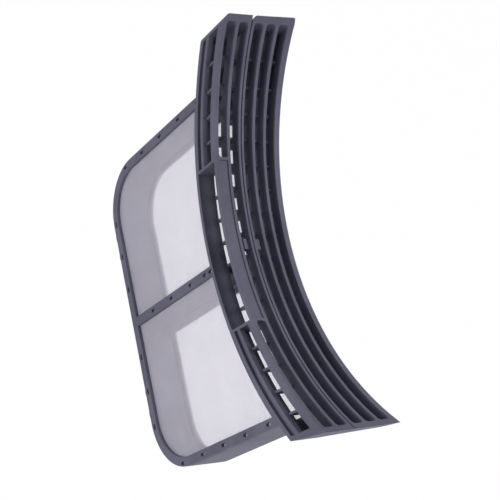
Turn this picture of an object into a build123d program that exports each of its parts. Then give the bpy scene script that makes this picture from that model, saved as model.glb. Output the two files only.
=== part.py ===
import os
from math import cos, radians, sin, sqrt

from build123d import *

# Lint filter of a tumble dryer: two moulded halves that fold open like a book.
# X runs along the curved grille, Y from the front to the rear, and Z is up.
# The origin is on the parting line, at the lowest point of the grille's top surface.

# Top surface of the grille: part of an oblique cone, an arc in every plane across Y
ring_radius = 222.6     # at the parting plane
ring_taper = 0.48       # radius lost for each millimetre towards the rear
surface_fall = 0.043    # drop of the lowest line for each millimetre towards the rear

# Grille
grille_length = 300.0
slot_width = 7.6
rib_width = 2.4
rib_height = 7.8
wall = 2.0
rim_width = 5.5
rim_bevel_width = 1.5
rim_bevel_drop = 1.0
end_wall = 4.0
end_draft = 0.1         # slope of the right end, which leans in below
end_setback = 2.6       # of the space below the ribs at the right end, from the end of the slots
corner_radius = 3.0
slot_corner = 2.0
corner_steps = 3        # flats that round each corner of a slot or a pin hole
parting_gap = 0.8
cells = 17              # openings between cross ribs along a slot
cross_rib_width = 1.8
cross_rib_top = 6.0     # depth below the top surface
front_rib_bottom = 18.4
rear_rib_bottom = 20.5

# Front face, as depths below the top surface
band_bottom = 7.2
shelf_top = 17.0
shelf_bottom = 19.8
lip_top = 23.8
shelf_width = 4.0
groove_depth = 2.4      # of the groove between the shelf and the lip
post_setback = 3.2      # of the cross ribs behind the front face

# Finger recess in the middle of the front face
recess_cells = 7
bar_edge = 4.0          # height of the bar's front edge
bar_sink = 0.9          # of the bar's top below the ribs
bar_thickness = 1.8
rib_foot = 1.5          # of the cross ribs behind the recess

# Closed floors that lead from the grille to the bag, as depths of their undersides
floor_wall = 2.0
front_floor = 27.0
mouth_setback = 14.0    # of the bag's mouth behind the front face
rear_floor = 22.0
rim_floor = 12.5
front_window_top = 29.5
rear_window_top = 24.5

# Bag
bag_centre = 9.75       # from the middle of the grille
bag_width = 247.5
septum_x = 11.0         # middle of the crossbar and of the septum behind it
bag_bottom = 146.5      # below the origin
bag_corner = 42.0
border = 7.0
crossbar_width = 7.2
frame_setback = 1.0     # of the mesh frame behind the front face
frame_thickness = 2.5
tray_depth = 30.7
tray_wall = 2.0
septum_wall = 1.8
mesh_thickness = 0.4
mesh_inset = 2.0        # from the bag's outline to the mesh's edge
half_clearance = 0.4    # between the two halves where they close

# Holes that the mould's pins leave in the mesh frame
pin_hole_width = 2.4
pin_hole_length = 4.6   # along the bar
pin_hole_corner = 1.0
pin_hole_pitch = 28.0
pin_hole_rows = 5
pin_hole_first = 1.5    # below the origin
pin_hole_columns = 3    # on the bottom bar, each side of the crossbar
pin_hole_extra = 37.0   # one more on the crossbar, below the origin

# Hinge under the bottom edge
hinge_spacing = 130.0
hinge_pin_radius = 1.5
hinge_clearance = 0.05
hinge_drop = 3.1        # of the axis below the bag
hinge_setback = 6.5     # of the axis behind the front face
knuckle_radius = 2.7
knuckle_length = 12.0
knuckle_mouth = 2.5     # snap opening that the pin is pressed through
lug_width = 4.0
lug_gap = 0.4

# Snap latch on the parting line
latch_x = 0.5
latch_width = 8.0
latch_top = 2.8         # depth below the top surface
latch_thickness = 1.6
latch_root = 4.3        # length in front of the front parting wall
latch_reach = 5.4       # length behind the rear parting wall
latch_rise = 1.5        # room above the tongue for its swing

# Places that follow from the sizes
half_length = grille_length / 2
inner_end = half_length - end_wall
under_right = inner_end - end_setback
half_gap = parting_gap / 2
slot_pitch = slot_width + rib_width
front_y = -(half_gap + wall + slot_width + slot_pitch + wall)
rear_y = half_gap + wall + slot_width + 2 * slot_pitch + rim_width
cell_pitch = 2 * inner_end / cells
rib_lines = [cell_pitch * (i + 1 - cells / 2) for i in range(cells - 1)]
recess_half = (cell_pitch * recess_cells - wall) / 2
mouth_front = front_y + mouth_setback
front_floor_top = front_floor - floor_wall
bag_left = bag_centre - bag_width / 2
bag_right = bag_centre + bag_width / 2
frame_front = front_y + frame_setback
frame_back = frame_front + frame_thickness
mesh_back = frame_back + mesh_thickness
tray_front = mesh_back + half_clearance
tray_rear = tray_front + tray_depth
tray_floor = tray_rear - tray_wall
tray_top = front_floor + half_clearance
hinge_y = front_y + hinge_setback
hinge_z = -bag_bottom - hinge_drop
overlap = 0.5           # how far an added piece reaches into what carries it
open_air = -6.0         # depth of a cut that starts above the grille


def surface_point(x, y, depth):
    radius = ring_radius - ring_taper * y + depth
    centre = ring_radius - (ring_taper + surface_fall) * y
    return Vector(x, y, centre - sqrt(radius ** 2 - x ** 2))


def curve(y, x0, x1, depth):
    middle = (x0 + x1) / 2
    return ThreePointArc(*[surface_point(x, y, depth) for x in (x0, middle, x1)])


def section(y, x0, x1, upper, lower):
    top = curve(y, x0, x1, upper)
    bottom = curve(y, x0, x1, lower)
    sides = [Line(top @ end, bottom @ end) for end in (0, 1)]
    return Wire([top, bottom, *sides])


def slab(y0, y1, x0, x1, depths, rear_depths=None):
    first = section(y0, x0, x1, *depths)
    last = section(y1, x0, x1, *(rear_depths or depths))
    return Solid.make_loft([first, last], ruled=True)


def block(x0, x1, y0, y1, z0, z1):
    size = (x1 - x0, y1 - y0, z1 - z0)
    return Pos((x0 + x1) / 2, (y0 + y1) / 2, (z0 + z1) / 2) * Box(*size)


def upright(x0, x1, y0, y1):
    return block(x0, x1, y0, y1, -ring_radius, ring_radius)


def rounded_outline(width, length, radius):
    points = []
    for corner, (across, along) in enumerate(((1, 1), (-1, 1), (-1, -1), (1, -1))):
        x = across * (width / 2 - radius)
        y = along * (length / 2 - radius)
        for i in range(corner_steps + 1):
            angle = radians(90 * (corner + i / corner_steps))
            points.append((x + radius * cos(angle), y + radius * sin(angle)))
    return make_face(Polyline(*points, close=True))


def grille_plan(y0, y1):
    plan = RectangleRounded(grille_length + overlap, y1 - y0, corner_radius)
    return extrude(Pos(overlap / 2, (y0 + y1) / 2) * plan, amount=ring_radius, both=True)


def right_end_cut():
    wires = []
    for y in (front_y - wall, rear_y + wall):
        edge = surface_point(half_length, y, 0)
        outline = [
            (end_draft * ring_radius, ring_radius), (-end_draft * ring_radius, -ring_radius),
            (ring_radius, -ring_radius), (ring_radius, ring_radius),
        ]
        wires.append(Wire(Polyline(*[edge + Vector(x, 0, z) for x, z in outline], close=True)))
    return Solid.make_loft(wires, ruled=True)


def slot_cut(y, x0, x1):
    plan = rounded_outline(x1 - x0, slot_width, slot_corner)
    plan = Pos((x0 + x1) / 2, y + slot_width / 2) * plan
    hole = extrude(plan, amount=ring_radius, both=True)
    around = slab(
        y - overlap, y + slot_width + overlap, x0 - overlap, x1 + overlap,
        (open_air, rib_height + overlap),
    )
    return hole & around


def bag_plate(inset, y0, y1, top_depth):
    left = bag_left + inset
    right = bag_right - inset
    bottom = inset - bag_bottom
    radius = bag_corner - inset
    top = curve(y0, left, right, top_depth)
    knee_left = Vector(left, y0, bottom + radius)
    knee_right = Vector(right, y0, bottom + radius)
    foot_left = Vector(left + radius, y0, bottom)
    foot_right = Vector(right - radius, y0, bottom)
    outline = Wire([
        top,
        Line(top @ 0, knee_left),
        TangentArc(knee_left, foot_left, tangent=(0, 0, -1)),
        Line(foot_left, foot_right),
        TangentArc(knee_right, foot_right, tangent=(0, 0, -1)),
        Line(knee_right, top @ 1),
    ])
    return extrude(Face(outline), amount=y1 - y0, dir=(0, 1, 0))


def cross_rib(x, outline):
    profile = [surface_point(x, y, depth) for y, depth in outline]
    face = make_face(Polyline(*profile, close=True))
    return Pos(-cross_rib_width / 2, 0, 0) * extrude(face, amount=cross_rib_width, dir=(1, 0, 0))


def mirrored(x0, x1):
    return [(-x1, -x0), (x0, x1)]


def overhangs():
    return [(-inner_end, bag_left + tray_wall), (bag_right - tray_wall, under_right)]


def front_grille():
    back = -half_gap
    inside = front_y + wall
    ledge = front_y + shelf_width
    rib_front = inside + slot_width
    outside = front_y - wall
    beside_recess = mirrored(recess_half + wall, inner_end)
    recess = (-recess_half, recess_half)
    deep = front_floor + wall

    body = slab(front_y, back, -half_length, half_length + overlap, (0, front_floor))
    body &= grille_plan(front_y, back + 2 * corner_radius)
    cuts = [right_end_cut(), slot_cut(inside + slot_pitch, -inner_end, inner_end)]
    for x0, slot_end in beside_recess:
        x1 = min(slot_end, under_right)
        cuts.append(slot_cut(inside, x0, slot_end))
        cuts.append(slab(outside, ledge + wall, x0, x1, (band_bottom, shelf_top)))
        cuts.append(slab(outside, front_y + groove_depth, x0, x1, (shelf_bottom, lip_top)))
        cuts.append(slab(ledge, back + wall, x0, x1, (rib_height, front_floor_top)))
    cuts.append(slab(outside, inside, *recess, (bar_edge, front_floor_top)))
    cuts.append(slab(inside, rib_front, *recess, (bar_sink + bar_thickness, front_floor_top)))
    cuts.append(slab(inside, rib_front, *recess, (open_air, bar_sink)))
    cuts.append(slab(rib_front, back + wall, *recess, (rib_height, front_floor_top)))
    mouth = (bag_left + tray_wall, bag_right - tray_wall)
    cuts.append(slab(mouth_front, back + wall, *mouth, (front_floor_top - overlap, deep)))
    for cut in cuts:
        body -= cut
    return body + front_cross_ribs()


def front_cross_ribs():
    post_front = front_y + post_setback
    far = -half_gap - overlap
    rib_back = front_y + wall + slot_pitch - overlap
    beside = [
        (post_front, cross_rib_top), (far, cross_rib_top), (far, front_rib_bottom),
        (post_front, front_rib_bottom),
    ]
    floor = front_floor - floor_wall / 2
    within = [
        (rib_back, cross_rib_top), (far, cross_rib_top), (far, front_rib_bottom),
        (mouth_front + rib_foot, floor), (mouth_front - overlap, floor),
    ]
    ribs = []
    for x in rib_lines:
        from_recess = abs(x) - recess_half
        if abs(from_recess) > wall:
            ribs.append(cross_rib(x, beside if from_recess > 0 else within))
    return ribs


def mesh_frame():
    plate = bag_plate(0, frame_front, frame_back, front_floor - floor_wall / 2)
    opening = bag_plate(border, frame_front - wall, frame_back + wall, front_window_top)
    opening -= upright(*septum_span(0), front_y - wall, tray_rear)
    return plate - opening - pin_holes()


def mould_pin(x, z, turn):
    outline = rounded_outline(pin_hole_width, pin_hole_length, pin_hole_corner)
    pin = extrude(Plane.XZ * Rot(0, 0, turn) * outline, amount=frame_thickness, both=True)
    return Pos(x, (frame_front + frame_back) / 2, z) * pin


def pin_holes():
    columns = [bag_left + border / 2, septum_x, bag_right - border / 2]
    rows = [-pin_hole_first - pin_hole_pitch * i for i in range(pin_hole_rows)]
    pins = [mould_pin(x, z, 0) for x in columns for z in rows]
    pins.append(mould_pin(septum_x, -pin_hole_extra, 0))
    bottom = border / 2 - bag_bottom
    for i in range(pin_hole_columns):
        for side in (-1, 1):
            pins.append(mould_pin(septum_x + side * pin_hole_pitch * (i + 1), bottom, 90))
    return pins


def hinge_places():
    return [septum_x - hinge_spacing / 2, septum_x + hinge_spacing / 2]


def along_x(radius, x0, x1):
    return Pos((x0 + x1) / 2, hinge_y, hinge_z) * Rot(0, 90, 0) * Cylinder(radius, x1 - x0)


def hinge_lugs(x):
    reach = knuckle_length / 2 + lug_gap
    outer = reach + lug_width
    top = hinge_z + knuckle_radius
    profile = Polyline(
        (frame_front, overlap - bag_bottom),
        (frame_back, overlap - bag_bottom),
        (frame_back, top),
        (hinge_y, top),
        (hinge_y, hinge_z - knuckle_radius),
        (frame_front, top),
        close=True,
    )
    lug = extrude(Plane.YZ * make_face(profile), amount=lug_width)
    pieces = [along_x(hinge_pin_radius, x - outer, x + outer)]
    for start in (-outer, reach):
        pieces.append(Pos(x + start, 0, 0) * lug)
        pieces.append(along_x(knuckle_radius, x + start, x + start + lug_width))
    return pieces


def hinge_knuckle(x):
    half = knuckle_length / 2
    body = along_x(knuckle_radius, x - half, x + half)
    body += block(x - half, x + half, hinge_y, hinge_y + knuckle_radius, hinge_z, overlap - bag_bottom)
    bore = along_x(hinge_pin_radius + hinge_clearance, x - knuckle_length, x + knuckle_length)
    mouth = knuckle_mouth / 2
    low = hinge_z - 2 * knuckle_radius
    body -= block(x - half, x + half, hinge_y - mouth, hinge_y + mouth, low, hinge_z)
    return body - bore


def latch_span(margin):
    return latch_x - latch_width / 2 - margin, latch_x + latch_width / 2 + margin


def latch_tongue():
    tip = half_gap + wall + latch_reach
    root = -half_gap - wall - latch_root
    tongue = slab(root, tip, *latch_span(0), (latch_top, latch_top + latch_thickness))
    rib = (latch_top, rib_height - overlap)
    return tongue + slab(root, -half_gap - overlap, *latch_span(0), rib)


def latch_window():
    high = latch_top - latch_rise
    low = latch_top + latch_thickness + half_clearance
    return slab(0, half_gap + wall + overlap, *latch_span(half_clearance), (high, low))


def front_half():
    body = front_grille() + mesh_frame() + latch_tongue()
    for x in hinge_places():
        body += hinge_lugs(x)
    return body


def rear_grille():
    inside = half_gap + wall
    inner_rim = rear_y - rim_width
    floor_slope = (rear_floor - rim_floor) / (rear_y - tray_floor)
    rim_ceiling = rear_floor - floor_wall - floor_slope * (inner_rim + wall - tray_floor)
    whole = (-half_length, half_length + overlap)

    ring = slab(half_gap, tray_floor, *whole, (0, front_floor), (0, rear_floor))
    ring += slab(tray_floor, rear_y, *whole, (0, rear_floor), (0, rim_floor))
    ring &= grille_plan(half_gap, rear_y)
    below = (-inner_end, under_right)
    under = (rib_height, rear_floor - floor_wall)
    cuts = [slot_cut(inside + slot_pitch * i, -inner_end, inner_end) for i in range(3)]
    cuts.append(right_end_cut())
    cuts.append(slab(tray_floor, inner_rim + wall, *below, under, (rib_height, rim_ceiling)))
    for span in overhangs():
        cuts.append(slab(inside, tray_floor, *span, (rib_height, front_floor - floor_wall), under))
    mouth = (bag_left + tray_wall, bag_right - tray_wall)
    cuts.append(slab(half_gap - wall, tray_floor, *mouth, (rib_height, front_floor + wall)))
    beyond = half_length + wall
    bevel_front = rear_y - 2 * rim_bevel_width
    bevel_back = rear_y + rim_bevel_width
    higher = (open_air, -rim_bevel_drop)
    lower = (open_air, 2 * rim_bevel_drop)
    cuts.append(slab(bevel_front, bevel_back, -beyond, beyond, higher, lower))
    cuts.append(latch_window())
    for cut in cuts:
        ring -= cut

    near = half_gap + overlap
    far = inner_rim + overlap
    far_floor = rear_floor - floor_wall / 2 - floor_slope * (far - tray_floor)
    outline = [
        (near, cross_rib_top), (far, cross_rib_top), (far, far_floor),
        (tray_floor + overlap, rear_floor), (near, rear_rib_bottom),
    ]
    return ring + [cross_rib(x, outline) for x in rib_lines]


def septum_span(margin):
    half = crossbar_width / 2 + margin
    return septum_x - half, septum_x + half


def tray():
    upper = rear_floor - floor_wall / 2
    shell = bag_plate(0, tray_front, tray_rear, upper)
    shell -= bag_plate(tray_wall, tray_front - wall, tray_floor, upper + open_air)
    windows = bag_plate(border, tray_floor - wall, tray_rear + wall, rear_window_top)
    shell -= windows - upright(*septum_span(border), tray_front, tray_rear + 2 * wall)
    channel = bag_plate(tray_wall / 2, tray_front, tray_rear, tray_top)
    shell += channel & upright(*septum_span(0), tray_front, tray_rear)
    hollow = bag_plate(tray_wall, tray_front + septum_wall, tray_rear + wall, rear_window_top + wall)
    shell -= hollow & upright(*septum_span(-septum_wall), tray_front, tray_rear + wall)
    trim = (open_air, tray_top)
    return shell - slab(tray_front - wall, half_gap, bag_left - wall, bag_right + wall, trim)


def rear_half():
    body = rear_grille() + tray()
    for x in hinge_places():
        body += hinge_knuckle(x)
    return body


def front_mesh():
    return bag_plate(mesh_inset, frame_back, mesh_back, front_floor + half_clearance)


def rear_mesh(x0, x1):
    edge = tray_wall + half_clearance
    top = rear_window_top - mesh_inset
    sheet = bag_plate(edge, tray_floor - mesh_thickness, tray_floor, top)
    return sheet & upright(x0, x1, tray_front, tray_rear)


def rear_mesh_left():
    return rear_mesh(bag_left, septum_span(half_clearance)[0])


def rear_mesh_right():
    return rear_mesh(septum_span(half_clearance)[1], bag_right)


os.makedirs("parts", exist_ok=True)
for make in (front_half, rear_half, front_mesh, rear_mesh_left, rear_mesh_right):
    solid = make()
    export_step(solid, f"parts/{make.__name__}.step")
    print(make.__name__, len(solid.solids()), round(solid.volume / 1000, 2))
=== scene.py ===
from math import pi

import bmesh
import bpy
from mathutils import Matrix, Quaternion, Vector


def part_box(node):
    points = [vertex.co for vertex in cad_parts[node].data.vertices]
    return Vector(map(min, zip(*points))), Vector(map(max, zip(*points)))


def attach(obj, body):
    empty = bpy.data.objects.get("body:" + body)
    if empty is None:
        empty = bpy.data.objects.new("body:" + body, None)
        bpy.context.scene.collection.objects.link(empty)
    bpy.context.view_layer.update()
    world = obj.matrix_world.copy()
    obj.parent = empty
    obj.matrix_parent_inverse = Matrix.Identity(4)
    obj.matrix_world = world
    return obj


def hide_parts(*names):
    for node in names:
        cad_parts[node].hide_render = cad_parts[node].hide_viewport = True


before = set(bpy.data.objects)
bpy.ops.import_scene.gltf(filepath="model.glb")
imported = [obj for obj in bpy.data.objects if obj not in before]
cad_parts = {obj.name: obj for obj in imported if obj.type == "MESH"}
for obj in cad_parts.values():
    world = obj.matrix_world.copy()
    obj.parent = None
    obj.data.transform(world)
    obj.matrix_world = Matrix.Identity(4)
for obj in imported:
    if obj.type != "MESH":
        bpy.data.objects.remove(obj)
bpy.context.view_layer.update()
scene = bpy.context.scene
scene.view_settings.view_transform = "Standard"
print("lint filter: frame loaded,", len(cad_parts), "nodes")


def deselectAll():
    bpy.ops.object.select_all(action="DESELECT")


def makeActive(piece):
    deselectAll()
    piece.select_set(True)
    bpy.context.view_layer.objects.active = piece


def newMaterial(name):
    material = bpy.data.materials.new(name)
    material.use_nodes = True
    material.node_tree.nodes.clear()
    return material, material.node_tree


def addNode(tree, kind, values=None, **settings):
    node = tree.nodes.new(kind)
    for key, value in settings.items():
        setattr(node, key, value)
    for socket, value in (values or {}).items():
        if isinstance(value, bpy.types.NodeSocket):
            tree.links.new(value, node.inputs[socket])
        else:
            node.inputs[socket].default_value = value
    return node


def noiseAt(tree, place, scale, detail, roughness=0.5):
    values = {"Vector": place, "Scale": scale, "Detail": detail, "Roughness": roughness}
    return addNode(tree, "ShaderNodeTexNoise", values).outputs["Fac"]


def mathOf(tree, operation, first, second=0.0, third=0.0):
    node = addNode(tree, "ShaderNodeMath", {0: first, 1: second, 2: third}, operation=operation)
    return node.outputs[0]


def mapTo(tree, value, fromLow, fromHigh, toLow, toHigh, smooth=False):
    values = {"Value": value, 1: fromLow, 2: fromHigh, 3: toLow, 4: toHigh}
    kind = "SMOOTHSTEP" if smooth else "LINEAR"
    return addNode(tree, "ShaderNodeMapRange", values, interpolation_type=kind).outputs[0]


noiseRange = (0.3, 0.7)         # most values of a noise texture lie in it


def patchesAt(tree, place, scale, detail, low=0, high=1, smooth=False):
    return mapTo(tree, noiseAt(tree, place, scale, detail), *noiseRange, low, high, smooth)


def blendColours(tree, share, first, second):
    values = {0: share}
    for socket, colour in ((6, first), (7, second)):
        isSocket = isinstance(colour, bpy.types.NodeSocket)
        values[socket] = colour if isSocket else (*colour, 1)
    return addNode(tree, "ShaderNodeMix", values, data_type="RGBA").outputs[2]


# Slate grey moulded plastic of both halves
plastic = {
    "darkTone": (0.087, 0.085, 0.119),
    "lightTone": (0.113, 0.111, 0.152),
    "toneScale": 26,            # clouds of about 40 mm
    "toneDetail": 3,
    "grainScale": 2400,         # spark-eroded grain of about 0.4 mm
    "grainDetail": 2,
    "grainSharpness": 0.6,      # share of the finer octave
    "grainDepth": 0.00006,
    "grainStrength": 0.25,
    "roughness": (0.60, 0.72),
    "patchScale": 180,          # duller and brighter patches of about 6 mm
    "patchDetail": 4,
    "sheen": 0.25,              # specular level
    "edgeRadius": 0.0007,
    "edgeSamples": 6,
}


def mouldedPlastic():
    material, tree = newMaterial("slatePlastic")
    place = addNode(tree, "ShaderNodeTexCoord").outputs["Object"]
    share = patchesAt(tree, place, plastic["toneScale"], plastic["toneDetail"], smooth=True)
    colour = blendColours(tree, share, plastic["darkTone"], plastic["lightTone"])
    grain = noiseAt(
        tree, place, plastic["grainScale"], plastic["grainDetail"], plastic["grainSharpness"],
    )
    low, high = plastic["roughness"]
    rough = patchesAt(tree, place, plastic["patchScale"], plastic["patchDetail"], low, high)
    softEdge = addNode(
        tree, "ShaderNodeBevel", {"Radius": plastic["edgeRadius"]}, samples=plastic["edgeSamples"],
    )
    bump = addNode(tree, "ShaderNodeBump", {
        "Strength": plastic["grainStrength"],
        "Distance": plastic["grainDepth"],
        "Height": grain,
        "Normal": softEdge.outputs[0],
    })
    shader = addNode(tree, "ShaderNodeBsdfPrincipled", {
        "Base Color": colour,
        "Roughness": rough,
        "Specular IOR Level": plastic["sheen"],
        "Normal": bump.outputs[0],
    })
    addNode(tree, "ShaderNodeOutputMaterial", {"Surface": shader.outputs[0]})
    return material


# White woven polyester of the filter sheets
weave = {
    "pitch": 0.00036,
    "threadShare": 0.15,        # of the pitch, in each direction and on each face
    "softness": 0.28,
    "colour": (0.862, 0.822, 0.898),
    "shadeColour": (0.788, 0.753, 0.829),
    "patchScale": 60,           # patches of both colours of about 17 mm
    "patchDetail": 3,
    "roughness": 0.5,
    "bumpStrength": 0.1,
    "bumpDepth": 0.00002,
    "turns": {"front": 0.0, "rear": 0.5},   # of the threads in their sheets, in radians
}
sheetThickness = 0.0002

# Windows of the two frames: outside them the sheets are moulded into the plastic
windows = {
    "middle": 0.011,            # of the crossbar and the septum, along X
    "outerLeft": 0.118,         # edges from that middle
    "outerRight": 0.1155,
    "bottom": -0.1395,
    "corner": 0.035,
    "blur": 0.0001,             # to each side of an edge
    "front": {"inner": 0.0036, "innerCorner": 0.001, "arcHeight": 0.23228, "arcRadius": 0.26088},
    "rear": {"inner": 0.0106, "innerCorner": 0.004, "arcHeight": 0.21789, "arcRadius": 0.24278},
}


def hypotenuse(tree, first, second):
    squares = [mathOf(tree, "POWER", side, 2) for side in (first, second)]
    return mathOf(tree, "SQRT", mathOf(tree, "ADD", *squares))


def roundedCorner(tree, axes, sideways, radius):
    downwards = mathOf(tree, "SUBTRACT", windows["bottom"] + radius, axes["Z"])
    runs = [mathOf(tree, "MAXIMUM", run, 0) for run in (sideways, downwards)]
    return mathOf(tree, "SUBTRACT", hypotenuse(tree, *runs), radius)


def mouldedEdge(tree, axes, side):
    own = windows[side]
    across = mathOf(tree, "SUBTRACT", axes["X"], windows["middle"])
    isRight = mathOf(tree, "GREATER_THAN", across, 0)
    wider = windows["outerLeft"] - windows["outerRight"]
    fromMiddle = mathOf(tree, "MULTIPLY_ADD", isRight, wider, mathOf(tree, "ABSOLUTE", across))
    radius = windows["corner"]
    outwards = mathOf(tree, "SUBTRACT", fromMiddle, windows["outerLeft"] - radius)
    outside = roundedCorner(tree, axes, outwards, radius)
    radius = own["innerCorner"]
    inwards = mathOf(tree, "SUBTRACT", own["inner"] + radius, mathOf(tree, "ABSOLUTE", across))
    beside = roundedCorner(tree, axes, inwards, radius)
    rise = mathOf(tree, "SUBTRACT", axes["Z"], own["arcHeight"])
    above = mathOf(tree, "SUBTRACT", own["arcRadius"], hypotenuse(tree, axes["X"], rise))
    past = mathOf(tree, "MAXIMUM", mathOf(tree, "MAXIMUM", outside, beside), above)
    return mapTo(tree, past, -windows["blur"], windows["blur"], 0, 1)


def threadMask(tree, along):
    step = mathOf(tree, "DIVIDE", along, weave["pitch"])
    ramp = mathOf(tree, "PINGPONG", step, 0.5)
    edge = weave["threadShare"] / 2
    soft = weave["softness"] / 2
    return mapTo(tree, ramp, edge - soft, edge + soft, 1, 0, smooth=True)


def wovenMesh(side, turn):
    material, tree = newMaterial(side + "Weave")
    place = addNode(tree, "ShaderNodeTexCoord").outputs["Object"]
    turned = addNode(tree, "ShaderNodeMapping", {"Vector": place, "Rotation": (0, turn, 0)})
    axes = addNode(tree, "ShaderNodeSeparateXYZ", {0: turned.outputs[0]}).outputs
    warp = threadMask(tree, axes["X"])
    weft = threadMask(tree, axes["Z"])
    cover = mathOf(tree, "MAXIMUM", warp, weft)
    share = patchesAt(tree, place, weave["patchScale"], weave["patchDetail"])
    colour = blendColours(tree, share, weave["shadeColour"], weave["colour"])
    flat = addNode(tree, "ShaderNodeSeparateXYZ", {0: place}).outputs
    edge = mouldedEdge(tree, flat, side)
    cover = mathOf(tree, "MAXIMUM", cover, edge)
    if side == "front":         # its outer face stays white in the pin holes of the frame
        low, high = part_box("front_mesh")
        middle = (low[1] + high[1]) / 2
        isInner = mathOf(tree, "GREATER_THAN", flat["Y"], middle - sheetThickness / 4)
        edge = mathOf(tree, "MULTIPLY", edge, isInner)
    colour = blendColours(tree, edge, colour, plastic["darkTone"])
    bump = addNode(tree, "ShaderNodeBump", {
        "Strength": weave["bumpStrength"],
        "Distance": weave["bumpDepth"],
        "Height": mathOf(tree, "ADD", warp, weft),
    })
    shader = addNode(tree, "ShaderNodeBsdfPrincipled", {
        "Base Color": colour,
        "Roughness": weave["roughness"],
        "Alpha": cover,
        "Normal": bump.outputs[0],
    })
    addNode(tree, "ShaderNodeOutputMaterial", {"Surface": shader.outputs[0]})
    return material


plasticLook = mouldedPlastic()
weaveLooks = {side: wovenMesh(side, turn) for side, turn in weave["turns"].items()}
for nodeName in ("front_half", "rear_half"):
    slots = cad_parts[nodeName].data.materials
    slots.clear()
    slots.append(plasticLook)
print("materials: slate plastic and white weave")

# Filter sheets: each follows the bag's outline, with a top edge that follows the grille
sheets = {
    "frontSheet": {
        "node": "front_mesh", "body": "front", "carrier": "front_half",
        "corner": 0.040, "rounded": (-1, 1),
        "arcHeight": 0.23228, "arcRadius": 0.25888, "area": 0.03048,
    },
    "rearSheetLeft": {
        "node": "rear_mesh_left", "body": "rear", "carrier": "rear_half",
        "corner": 0.0396, "rounded": (-1,),
        "arcHeight": 0.21706, "arcRadius": 0.24001, "area": 0.01503,
    },
    "rearSheetRight": {
        "node": "rear_mesh_right", "body": "rear", "carrier": "rear_half",
        "corner": 0.0396, "rounded": (1,),
        "arcHeight": 0.21706, "arcRadius": 0.24001, "area": 0.01537,
    },
}
cornerSteps = 20
arcSteps = 288
arcDepth = 0.02                 # of the cutter, past both faces of a sheet


def selectCornerEdges(piece, sides, middle, bottom):
    bpy.ops.object.mode_set(mode="EDIT")
    bpy.ops.mesh.select_mode(type="EDGE")
    bpy.ops.mesh.select_all(action="DESELECT")
    work = bmesh.from_edit_mesh(piece.data)
    for edge in work.edges:
        first, second = (vert.co for vert in edge.verts)
        side = 1 if first.x > middle else -1
        across = abs(first.y - second.y) > sheetThickness / 2
        edge.select = across and first.z < bottom and side in sides
    bmesh.update_edit_mesh(piece.data)


def filterSheet(name, facts):
    low, high = (Vector(corner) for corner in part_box(facts["node"]))
    centre = (low + high) / 2
    size = (high.x - low.x, sheetThickness, high.z - low.z)
    deselectAll()
    bpy.ops.mesh.primitive_cube_add(size=1, location=centre)
    piece = bpy.context.object
    piece.name = name
    piece.scale = size
    bpy.ops.object.transform_apply(location=True, rotation=True, scale=True)
    selectCornerEdges(piece, facts["rounded"], centre.x, centre.z)
    bpy.ops.mesh.bevel(offset=facts["corner"], segments=cornerSteps, affect="EDGES")
    bpy.ops.object.mode_set(mode="OBJECT")

    deselectAll()
    bpy.ops.mesh.primitive_cylinder_add(
        vertices=arcSteps, radius=facts["arcRadius"], depth=arcDepth,
        location=(0, centre.y, facts["arcHeight"]), rotation=(pi / 2, 0, 0),
    )
    cutter = bpy.context.object
    makeActive(piece)
    trim = piece.modifiers.new("trim", "BOOLEAN")
    trim.operation = "DIFFERENCE"
    trim.solver = "EXACT"
    trim.object = cutter
    bpy.ops.object.modifier_apply(modifier=trim.name)
    bpy.data.objects.remove(cutter, do_unlink=True)

    piece.data.materials.clear()
    piece.data.materials.append(weaveLooks[facts["body"]])
    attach(piece, facts["body"])
    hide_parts(facts["node"])


for sheetName, sheetFacts in sheets.items():
    filterSheet(sheetName, sheetFacts)
print("filter sheets:", len(sheets))

# Floor, light and camera
stage = {
    "floorHeight": -0.40,
    "floorSize": 8.0,
    "floorColour": (0.80, 0.80, 0.81),
    "whiteShare": 0.985,        # of the floor's look that is plain white, the rest keeps the shadow
    "skyColour": (0.84, 0.87, 1.0),
    "skyStrength": 0.4,
    "lampTarget": (0, 0, -0.03),
}
lamps = {
    "keyLamp": {"at": (0.25, -1.05, 0.60), "size": 0.7, "power": 0.8},
    "topLamp": {"at": (-0.10, 0.60, 1.30), "size": 0.7, "power": 12.5},
    "frontLamp": {"at": (0.20, -1.20, 0.00), "size": 0.5, "power": 5.6},
    "leftLamp": {"at": (-0.30, -1.20, -0.02), "size": 0.5, "power": 1.2},
    "rightLamp": {"at": (1.20, 0.00, -0.08), "size": 0.4, "power": 6},
}
view = {
    "at": (0.24492, -0.46099, 0.57971),
    "turn": (0.6978590588, 0.3445953485, -0.0865191924, 0.6219012856),
    "lens": 79.482,
    "sensor": 36,
}


def cameraShare(tree):
    path = addNode(tree, "ShaderNodeLightPath").outputs
    seen = mathOf(tree, "MAXIMUM", path["Is Camera Ray"], path["Is Glossy Ray"])
    return mathOf(tree, "MAXIMUM", seen, path["Is Transmission Ray"])


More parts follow.
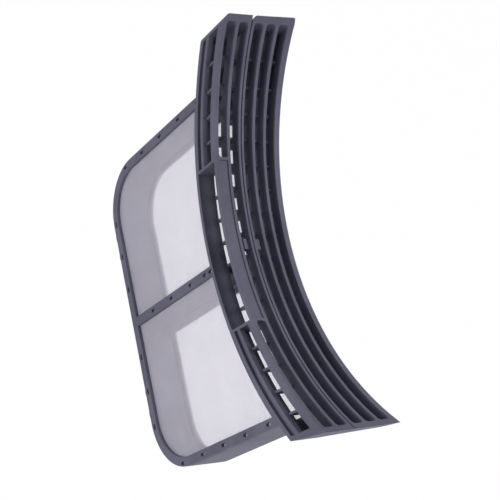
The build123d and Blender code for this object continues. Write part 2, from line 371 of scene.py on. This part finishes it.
def paleFloor():
    material, tree = newMaterial("paleFloor")
    matt = addNode(tree, "ShaderNodeBsdfDiffuse", {"Color": (*stage["floorColour"], 1)})
    white = addNode(tree, "ShaderNodeEmission", {"Color": (1, 1, 1, 1), "Strength": 1})
    share = mathOf(tree, "MULTIPLY", cameraShare(tree), stage["whiteShare"])
    mix = addNode(tree, "ShaderNodeMixShader", {0: share, 1: matt.outputs[0], 2: white.outputs[0]})
    addNode(tree, "ShaderNodeOutputMaterial", {"Surface": mix.outputs[0]})
    deselectAll()
    height = stage["floorHeight"]
    bpy.ops.mesh.primitive_plane_add(size=stage["floorSize"], location=(0, 0, height))
    floor = bpy.context.object
    floor.name = "floor"
    bpy.ops.object.transform_apply(location=True, rotation=True, scale=True)
    floor.data.materials.append(material)


def paleSky():
    world = bpy.data.worlds.new("paleSky")
    scene.world = world
    world.use_nodes = True
    tree = world.node_tree
    tree.nodes.clear()
    light = addNode(tree, "ShaderNodeBackground", {
        "Color": (*stage["skyColour"], 1), "Strength": stage["skyStrength"],
    })
    white = addNode(tree, "ShaderNodeBackground", {"Color": (1, 1, 1, 1), "Strength": 1})
    mix = addNode(tree, "ShaderNodeMixShader", {
        0: cameraShare(tree), 1: light.outputs[0], 2: white.outputs[0],
    })
    addNode(tree, "ShaderNodeOutputWorld", {"Surface": mix.outputs[0]})


def softLamp(name, facts):
    data = bpy.data.lights.new(name, "AREA")
    data.shape = "DISK"
    data.size = facts["size"]
    data.energy = facts["power"]
    lamp = bpy.data.objects.new(name, data)
    scene.collection.objects.link(lamp)
    lamp.location = facts["at"]
    aim = Vector(stage["lampTarget"]) - Vector(facts["at"])
    lamp.rotation_euler = aim.to_track_quat("-Z", "Y").to_euler()


def photoCamera():
    data = bpy.data.cameras.new("photoCamera")
    data.lens = view["lens"]
    data.sensor_width = view["sensor"]
    camera = bpy.data.objects.new("photoCamera", data)
    scene.collection.objects.link(camera)
    camera.location = view["at"]
    camera.rotation_mode = "QUATERNION"
    camera.rotation_quaternion = Quaternion(view["turn"])
    scene.camera = camera


paleFloor()
paleSky()
for lampName, lampFacts in lamps.items():
    softLamp(lampName, lampFacts)
photoCamera()
print("stage: floor, sky,", len(lamps), "lamps and the camera")
